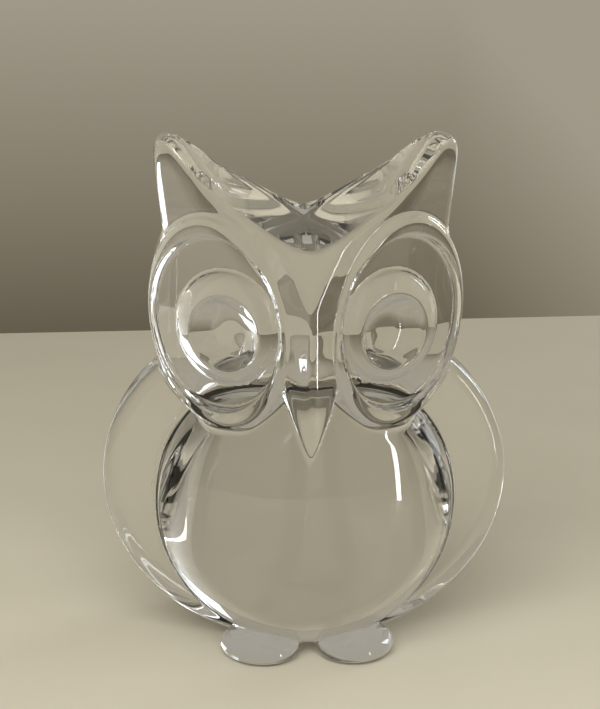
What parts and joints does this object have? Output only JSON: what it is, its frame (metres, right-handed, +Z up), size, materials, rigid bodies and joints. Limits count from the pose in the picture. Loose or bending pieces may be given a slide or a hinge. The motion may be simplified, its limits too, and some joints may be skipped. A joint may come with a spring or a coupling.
{
  "type": "crystal owl figurine",
  "caption": "Clear crystal owl paperweight with raised eye discs, a sharp brow ridge and beak, horned ear tufts, folded wings, a domed belly and a flat base.",
  "frame": {"origin": "middle of the footprint on the surface the owl stands on", "axes": "+Z up through the head, the face looks along -Y, +X is the owl's own left"},
  "size_m": [0.0794, 0.052, 0.1038],
  "materials": {
    "crystal": "fire-polished clear crystal"
  },
  "bodies": {
    "root": {"torso": "crystal", "belly": "crystal", "left_wing": "crystal", "right_wing": "crystal", "head": "crystal", "beak": "crystal", "left_ear_tuft": "crystal", "right_ear_tuft": "crystal", "left_eye_disc": "crystal", "right_eye_disc": "crystal", "left_iris": "crystal", "right_iris": "crystal", "left_foot": "crystal", "right_foot": "crystal"}
  },
  "joints": []
}
